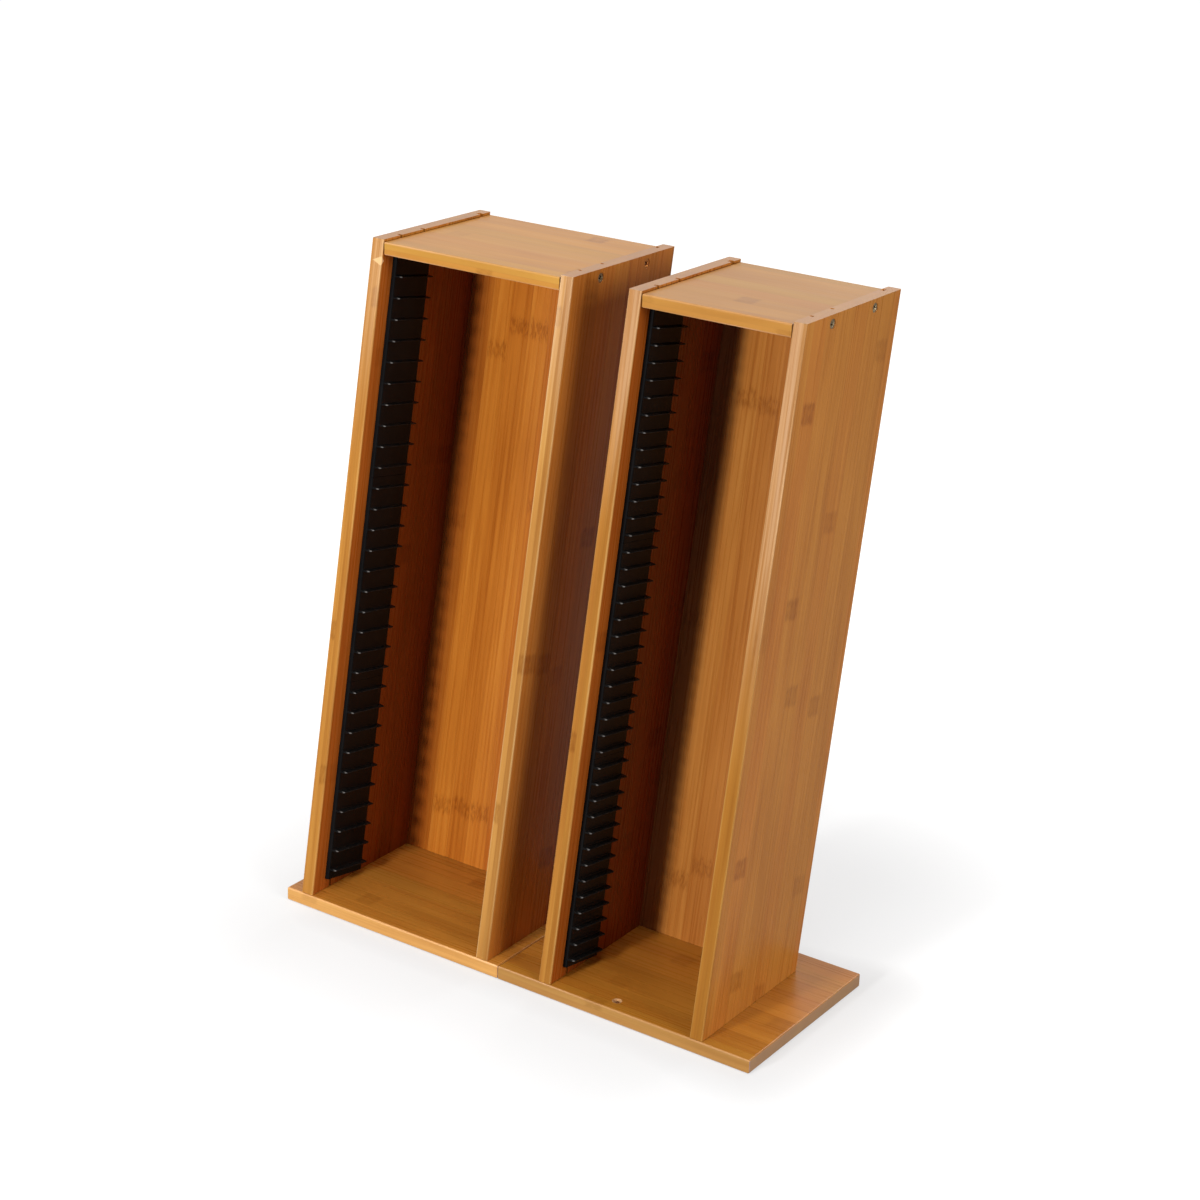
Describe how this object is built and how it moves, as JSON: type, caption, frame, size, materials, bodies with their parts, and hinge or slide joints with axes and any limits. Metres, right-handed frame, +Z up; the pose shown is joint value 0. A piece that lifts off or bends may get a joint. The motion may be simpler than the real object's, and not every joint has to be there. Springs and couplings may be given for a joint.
{
  "type": "cd rack",
  "caption": "Pair of leaning bamboo media racks, one wide and one narrow, each an open-fronted tower on a flat base with finned black strips that hold cases flat.",
  "frame": {"origin": "on the floor, under the middle of the pair's bounding box", "axes": "+X to the right seen from the open front, +Y to the back, +Z up"},
  "size_m": [0.4804, 0.2436, 0.5844],
  "materials": {
    "caramel_bamboo": "satin lacquer on caramelised laminated bamboo",
    "black_plastic": "satin black moulding",
    "bronzed_steel": "bronze-coated screw steel"
  },
  "bodies": {
    "root": {"left_base_board": "caramel_bamboo", "left_base_screw_1": "bronzed_steel", "left_base_screw_2": "bronzed_steel", "left_base_screw_3": "bronzed_steel", "left_base_screw_4": "bronzed_steel", "left_tower_left_side": "caramel_bamboo", "left_tower_right_side": "caramel_bamboo", "left_tower_top_board": "caramel_bamboo", "left_tower_back_panel": "caramel_bamboo", "left_tower_top_screw_1": "bronzed_steel", "left_tower_top_screw_2": "bronzed_steel", "left_tower_top_screw_3": "bronzed_steel", "left_tower_top_screw_4": "bronzed_steel", "left_tower_left_strip_lower": "black_plastic", "left_tower_left_strip_middle": "black_plastic", "left_tower_left_strip_upper": "black_plastic", "left_tower_right_strip_lower": "black_plastic", "left_tower_right_strip_middle": "black_plastic", "left_tower_right_strip_upper": "black_plastic", "right_base_board": "caramel_bamboo", "right_base_screw_1": "bronzed_steel", "right_base_screw_2": "bronzed_steel", "right_base_screw_3": "bronzed_steel", "right_base_screw_4": "bronzed_steel", "right_tower_left_side": "caramel_bamboo", "right_tower_right_side": "caramel_bamboo", "right_tower_top_board": "caramel_bamboo", "right_tower_back_panel": "caramel_bamboo", "right_tower_top_screw_1": "bronzed_steel", "right_tower_top_screw_2": "bronzed_steel", "right_tower_top_screw_3": "bronzed_steel", "right_tower_top_screw_4": "bronzed_steel", "right_tower_left_strip_lower": "black_plastic", "right_tower_left_strip_middle": "black_plastic", "right_tower_left_strip_upper": "black_plastic", "right_tower_right_strip_lower": "black_plastic", "right_tower_right_strip_middle": "black_plastic", "right_tower_right_strip_upper": "black_plastic"}
  },
  "joints": []
}
